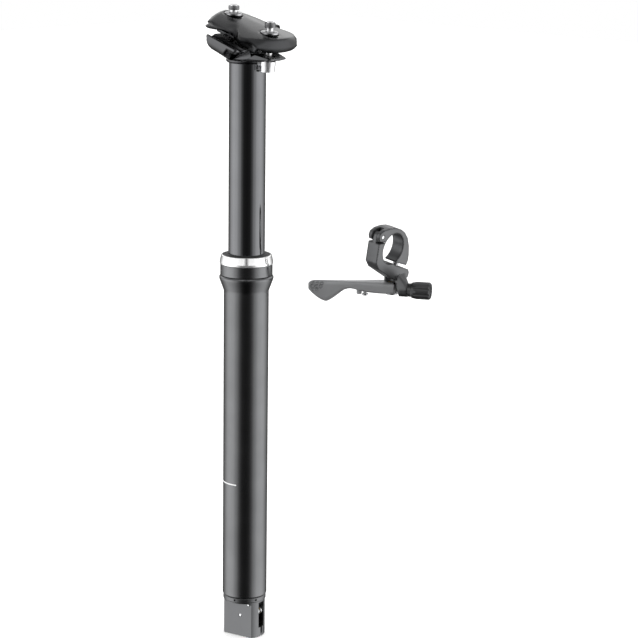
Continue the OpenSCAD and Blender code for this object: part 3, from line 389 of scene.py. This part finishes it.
# %% [markdown]
# ## Edges
#
# Every real edge has a small radius that catches the light, and black anodising rubs thin there. Bevels in the
# mesh would cost many faces, so the Bevel node rounds the edges in the shading, and the mask is bright where
# its normal leaves the true one. Noise breaks the mask into patches of wear. With a breakup of 0 the noise is
# the same everywhere, which gives the clamp and the remote their even dark rims: there the mask carries no
# wear but a painted dark reflection.

# %% Worn edge
# How well the two normals agree, from a face to a full edge, and the span of noise that makes the patches
AGREEMENT = (0.99, 0.75)
PATCHES = (0.35, 0.65)

edge, given, out = make_group(
    "edge_wear_and_painted_reflection", [("Width", FLOAT, 0.0003), ("Breakup", FLOAT, 900.0)], [("Edge", FLOAT), ("Normal", VECTOR)])
soft = add(edge, "ShaderNodeBevel", samples=4)
true_normal = add(edge, "ShaderNodeNewGeometry").outputs["Normal"]
agreement = vector(edge, "DOT_PRODUCT", soft.outputs["Normal"], true_normal)
bend = mapped(edge, agreement, 0.0, 1.0, AGREEMENT)
patches = mapped(edge, noise(edge, object_spot(edge), given["Breakup"], 2), 0.0, 1.0, PATCHES)
wire(edge, (given["Width"], soft.inputs["Radius"]), (soft.outputs["Normal"], out["Normal"]),
     (number(edge, "MULTIPLY", bend, patches), out["Edge"]))
print("group", edge.name)


# %% [markdown]
# ## Turning lines
#
# A lathe leaves fine rings round a turned tube. As grooves in the mesh they would be thousands of faces, so a
# noise that changes only along the axis stands in for them.

# %% Turning lines
turned, given, out = make_group(
    "turning_lines", [("Axis", VECTOR, (0.0, 0.0, 1.0)), ("Pitch", FLOAT, 9000.0)], [("Lines", FLOAT)])
along = vector(turned, "DOT_PRODUCT", object_spot(turned), given["Axis"])
wire(turned, (noise(turned, along, given["Pitch"], 3, "1D"), out["Lines"]))
print("group", turned.name)


# %% [markdown]
# ## Painted band
#
# A line printed round part of a tube could be a thin strip of mesh, but that would stand off the metal. A mask
# made from the height on the tube and the way round it lies flat in the surface and stays sharp.

# %% Painted band
band, given, out = make_group(
    "painted_band", [("Level", FLOAT, 0.0), ("Thickness", FLOAT, 0.0008), ("Middle", VECTOR, (1.0, 0.0, 0.0)),
                     ("Reach", FLOAT, 0.7)], [("Paint", FLOAT)])
spot = object_spot(band)
at_level = number(band, "COMPARE", height_of(band, spot), given["Level"], given["Thickness"])
facing = vector(band, "DOT_PRODUCT", level_way(band, spot), given["Middle"])
within = number(band, "GREATER_THAN", facing, given["Reach"])
wire(band, (number(band, "MULTIPLY", at_level, within), out["Paint"]))
print("groups", [g.name for g in bpy.data.node_groups])


# %% [markdown]
# ## A finish
#
# Every metal, plastic and rubber surface here is a Principled shader with the same few layers over it: a
# colour that clouds a little, edges that show bare metal where a finish wears or, on the clamp and the remote,
# a painted dark reflection, and a grain or turning lines in the bump. Each material could be wired by hand, but
# one function keeps them alike, and its values alone make polished, blasted or moulded surfaces of it.

# %% Finish maker
UNEVENNESS = 55.0
ROUGHNESS_SPREAD = 0.12
LEAST_LIFT = 0.002


def use_group(tree, group, **values):
    return add(tree, "ShaderNodeGroup", values, node_tree=group)


def mixed(tree, share, first, second):
    node = add(tree, "ShaderNodeMix", data_type="RGBA")
    tones = [(*term, 1) if isinstance(term, tuple) else term for term in (first, second)]
    feed(tree, (node.inputs[0], *node.inputs[6:8]), (share, *tones))
    return node.outputs[2]


def bumped(tree, distance, height, normal):
    node = add(tree, "ShaderNodeBump", {"Distance": distance})
    wire(tree, (height, node.inputs["Height"]), (normal, node.inputs["Normal"]))
    return node.outputs["Normal"]


# The tooth is the scale and depth of the grain, the rim the colour and strength of the edges, and the lathe
# the pitch and depth of the turning lines. The rim is bare metal where a finish wears, and a painted dark
# reflection on the clamp and the remote
def finish(name, colour, metallic, roughness, tooth, cloud, rim=None, rim_width=0.00025, breakup=900.0,
           lathe=None, specular=0.5):
    material = bpy.data.materials.new(name)
    material.use_nodes = True
    tree = material.node_tree
    shader = tree.nodes["Principled BSDF"]
    shader.inputs["Metallic"].default_value = metallic
    shader.inputs["Specular IOR Level"].default_value = specular
    surface = use_group(tree, grain, Scale=tooth[0], Unevenness=UNEVENNESS)
    lighter = tuple(min(1, c * (1 + cloud) + LEAST_LIFT) for c in colour)
    darker = tuple(c * (1 - cloud) for c in colour)
    tone = mixed(tree, surface.outputs["Cloud"], darker, lighter)
    edges = use_group(tree, edge, Width=rim_width, Breakup=breakup)
    if rim:
        tone = mixed(tree, mapped(tree, edges.outputs["Edge"], 0, rim[1]), tone, rim[0])
    rough = mapped(tree, surface.outputs["Cloud"], roughness * (1 - ROUGHNESS_SPREAD),
                   roughness * (1 + ROUGHNESS_SPREAD))
    normal = bumped(tree, tooth[1], surface.outputs["Grain"], edges.outputs["Normal"])
    if lathe:
        marks = use_group(tree, turned, Axis=(0, 0, 1), Pitch=lathe[0])
        normal = bumped(tree, lathe[1], marks.outputs["Lines"], normal)
    wire(tree, (tone, shader.inputs["Base Color"]), (rough, shader.inputs["Roughness"]),
         (normal, shader.inputs["Normal"]))
    return material


def dress(material, *names):
    for name in names:
        piece = shown[name]
        if not piece.material_slots:
            piece.data.materials.append(material)
        for place in piece.material_slots:
            place.material = material


print("pieces to dress", len(shown))


# %% [markdown]
# ## The black finishes
#
# The tube, collar and clamps are black anodised aluminium. Black paint would be a plain colour under a gloss,
# but anodising colours the metal itself, so these stay metallic with a dark colour and a soft gloss. The
# sliding tube is anodised harder and polished, so its bands are sharper. The clamp and the remote have broad
# dark rims painted into their colour: a painted reflection of the dark parts of the studio on their rounded
# edges.

# %% Black tubes
BARE = (0.42, 0.43, 0.45)

black_tube = finish("tube_black", (0.15, 0.152, 0.156), 1.0, 0.22, (5200, 0.000004), 0.15, (BARE, 0.25),
                    0.0002, lathe=(6000, 0.000002))
dress(black_tube, "outer_tube")
dress(finish("collar_black", (0.16, 0.162, 0.166), 1.0, 0.22, (5200, 0.000004), 0.15, (BARE, 0.3),
             lathe=(7000, 0.000003)), "collar_nut")
dress(finish("stanchion_black", (0.15, 0.152, 0.158), 1.0, 0.12, (7000, 0.000002), 0.1, (BARE, 0.3),
             0.0002, lathe=(9000, 0.000001)), "stanchion")
print("black tubes", [m.name for m in bpy.data.materials if m.name.endswith("_black")])

# %% Black clamps, housing and remote
# Painted reflection: a near-black colour over the broad rounded edges of the clamp, the remote and the paddle,
# standing in for the dark studio they mirror
PAINTED_DARK_REFLECTION = (0.012, 0.012, 0.013)

dress(finish("head_black", (0.085, 0.086, 0.089), 1.0, 0.25, (3200, 0.000006), 0.18, (BARE, 0.3), 0.0003),
      "head", "lower_cradle")
clamp_black = finish("clamp_black", (0.05, 0.051, 0.053), 1.0, 0.2, (3200, 0.000005), 0.18, (PAINTED_DARK_REFLECTION, 2),
                     0.0024, breakup=0)
dress(clamp_black, "upper_clamp")
dress(finish("housing_black", (0.14, 0.142, 0.146), 1.0, 0.34, (4200, 0.000005), 0.15, (BARE, 0.35)),
      "actuator_housing", "lock_ring")
dress(finish("remote_black", (0.11, 0.112, 0.115), 0.9, 0.3, (3000, 0.000008), 0.18, (PAINTED_DARK_REFLECTION, 2),
             0.0018, breakup=0), "remote_bracket", "remote_cap")
dress(finish("paddle_black", (0.3, 0.303, 0.31), 0.65, 0.42, (3000, 0.00001), 0.15, (PAINTED_DARK_REFLECTION, 2),
             0.0009, breakup=0), "thumb_lever")
dress(finish("knob_black", (0.07, 0.071, 0.073), 0.8, 0.3, (3000, 0.000008), 0.15, (BARE, 0.2), 0.0002),
      "adjuster_knob")
print("all blacks", [m.name for m in bpy.data.materials if m.name.endswith("_black")])


# %% [markdown]
# ## The line of least insertion
#
# A thin white line over part of the tube marks how deep the post has to sit in the frame. It is printed, so
# inside the band the tube's colour, metal and gloss all turn to those of plain paint.

# %% Insertion line
LINE_LEVEL = -0.135
LINE_MIDDLE = math.radians(-112)
LINE_HALF = math.radians(44.5)
LINE_HALF_THICKNESS = 0.00042
PLAIN_PAINT = {"Base Color": 0.85, "Metallic": 0.0, "Roughness": 0.45}

tree = black_tube.node_tree
line = use_group(tree, band, Level=LINE_LEVEL, Thickness=LINE_HALF_THICKNESS,
                 Middle=(math.cos(LINE_MIDDLE), math.sin(LINE_MIDDLE), 0), Reach=math.cos(LINE_HALF))
for label, plain in PLAIN_PAINT.items():
    socket = tree.nodes["Principled BSDF"].inputs[label]
    under = socket.links[0].from_socket if socket.links else (socket.default_value,) * 3
    tree.links.new(mixed(tree, line.outputs["Paint"], under, (plain,) * 3), socket)
print("line at", LINE_LEVEL)


# %% [markdown]
# ## The bright and the soft finishes
#
# The ring over the collar and the bolts stay bright, and the dished nuts are duller. The parts inside the
# post are plain steel, aluminium, brass, plastic and rubber. Each could have a material of its own kind, but
# the same function makes them all, since only colour, gloss and the rubbed edges set them apart.

# %% Steel and aluminium
dress(finish("bright_ring", (0.95, 0.95, 0.95), 0.85, 0.14, (5000, 0.000002), 0.02, None, 0.0002,
             lathe=(9000, 0.000001)), "accent_ring")
dress(finish("bolt_steel", (0.82, 0.82, 0.83), 0.9, 0.3, (3500, 0.000004), 0.06, ((0.9, 0.9, 0.9), 0.3),
             0.0002), "front_bolt", "rear_bolt", "anchor_grub_screw")
dress(finish("dull_steel", (0.4, 0.4, 0.41), 1.0, 0.2, (3500, 0.000003), 0.08, ((0.6, 0.6, 0.6), 0.3),
             0.0002), "front_nut", "rear_nut", "cartridge_bolt", "remote_bolt", "thumb_pivot_pin",
      "cable_screw")
# A darker copy of the bolt steel: painted shade for the grooves of the threads above the nuts
painted_shade_thread_steel = finish("painted_shade_thread_steel", (0.2, 0.2, 0.205), 1.0, 0.3, (3500, 0.000004), 0.1)
dress(finish("pin_steel", (0.72, 0.73, 0.74), 1.0, 0.18, (5000, 0.000002), 0.05),
      "lever_pivot_pin", "lever_stop_pin", "gas_rod", "valve_pin", "remote_hinge_pin", "thumb_spring")
dress(finish("bare_aluminium", (0.6, 0.61, 0.62), 1.0, 0.3, (4000, 0.000006), 0.08, ((0.8, 0.8, 0.8), 0.3),
             0.0002), "actuator_lever", "gas_cylinder", "cylinder_gland", "cylinder_cap",
      "floating_piston", "adjuster_insert")
print("materials so far", len(bpy.data.materials))

# %% Brass, plastic and rubber
dress(finish("brass", (0.62, 0.46, 0.2), 1.0, 0.3, (4000, 0.000005), 0.1, ((0.85, 0.7, 0.4), 0.3), 0.0002),
      "main_piston", "cable_anchor", "anti_rotation_keys", "pivot_bushing")
dress(finish("bearing_plastic", (0.3, 0.3, 0.28), 0.0, 0.5, (2500, 0.00001), 0.1),
      "upper_bushing", "guide_ring")
dress(finish("seal_rubber", (0.014, 0.014, 0.014), 0.0, 0.55, (2600, 0.00002), 0.2, specular=0.4),
      "wiper_seal", "collar_oring", "topout_bumper")
print("materials", len(bpy.data.materials))


# %% [markdown]
# ## Threads
#
# The two clamp bolts show their threads above the dished nuts. A bump would leave their outline straight, and
# a swept helix is heavy, so each thread is a sleeve whose radius rises and falls once for each turn. Its edge
# is truly toothed. The sleeve is wider than the 5 mm bolt: it stands 1 mm off it, as an open ring, and ends
# above the nut, so that it keeps clear of the nut as the saddle tips. A true thread would lie on the bolt.

# %% Thread sleeves
THREAD_PITCH = 0.001
THREAD_DEPTH = 0.00026
THREAD_LIFT = 0.00003
SLEEVE_RADIUS = 0.0035
THREAD_SIDES = 40
STEPS_IN_TURN = 6
STEPS_IN_FADE = 4
# How much of the bolt's two ends gives its axis, and how far below the crown the thread starts
CROWN_DEPTH = 0.0012
BASE_DEPTH = 0.0005
START_DEPTH = 0.0008


def thread(bolt, length):
    solid = nodes[bolt]
    corners = [solid.matrix_world @ v.co for v in solid.data.vertices]
    top, foot = max(c.z for c in corners), min(c.z for c in corners)
    crown = [c for c in corners if c.z > top - CROWN_DEPTH]
    base = [c for c in corners if c.z < foot + BASE_DEPTH]
    centre = sum(crown, Vector()) / len(crown)
    axis = (centre - sum(base, Vector()) / len(base)).normalized()
    aside = axis.cross(Vector((0, 1, 0))).normalized()
    across = axis.cross(aside)
    start = centre - axis * START_DEPTH
    steps = int(length / THREAD_PITCH * STEPS_IN_TURN)
    points, faces = [], []
    for step in range(steps + 1):
        down = step * length / steps
        fade = min(1, step / STEPS_IN_FADE, (steps - step) / STEPS_IN_FADE)
        for k in range(THREAD_SIDES):
            phase = (down / THREAD_PITCH + k / THREAD_SIDES) % 1
            reach = SLEEVE_RADIUS + THREAD_LIFT + THREAD_DEPTH * fade * (1 - abs(2 * phase - 1))
            angle = 2 * math.pi * k / THREAD_SIDES
            outward = aside * math.cos(angle) + across * math.sin(angle)
            points.append(start - axis * down + outward * reach)
    for step in range(steps):
        for k in range(THREAD_SIDES):
            a, b = step * THREAD_SIDES + k, step * THREAD_SIDES + (k + 1) % THREAD_SIDES
            faces.append((a, b, b + THREAD_SIDES, a + THREAD_SIDES))
    mesh = bpy.data.meshes.new(bolt + "_thread")
    mesh.from_pydata(points, [], faces)
    mesh.shade_smooth()
    sleeve = link_mesh(bolt + "_thread", mesh)
    sleeve.data.materials.append(painted_shade_thread_steel)
    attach(sleeve, bolt)


thread("front_bolt", length=0.0034)
thread("rear_bolt", length=0.0026)
print("thread sleeves", round(SLEEVE_RADIUS * 2000, 1), "mm across")


# %% [markdown]
# ## The core of the upper clamp
#
# Between the two rail grooves the real clamp is solid further down than its solid here, and that core closes
# the view through the jaws. It is added as a plain dark block that moves with the upper clamp and stays clear
# of the cradle when the clamp is down.

# %% Clamp core
CLAMP_TILT = math.radians(16.5)
CLAMP_LEVEL = 0.1738
CORE_LOW = (-0.0125, -0.017, -0.0007)
CORE_HIGH = (0.0048, 0.017, 0.002)

core_points = [(x, y, z) for x in (CORE_LOW[0], CORE_HIGH[0]) for y in (CORE_LOW[1], CORE_HIGH[1])
               for z in (CORE_LOW[2], CORE_HIGH[2])]
core_mesh = bpy.data.meshes.new("clamp_core")
core_mesh.from_pydata(core_points, [], [(0, 1, 3, 2), (4, 6, 7, 5), (0, 4, 5, 1), (2, 3, 7, 6),
                                        (0, 2, 6, 4), (1, 5, 7, 3)])
core = link_mesh("clamp_core", core_mesh)
core.matrix_world = Matrix.Translation((0, 0, CLAMP_LEVEL)) @ Matrix.Rotation(CLAMP_TILT, 4, "Y")
core.data.materials.append(clamp_black)
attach(core, body_of[nodes["upper_clamp"].parent])
print("clamp core", len(core_mesh.polygons), "faces")
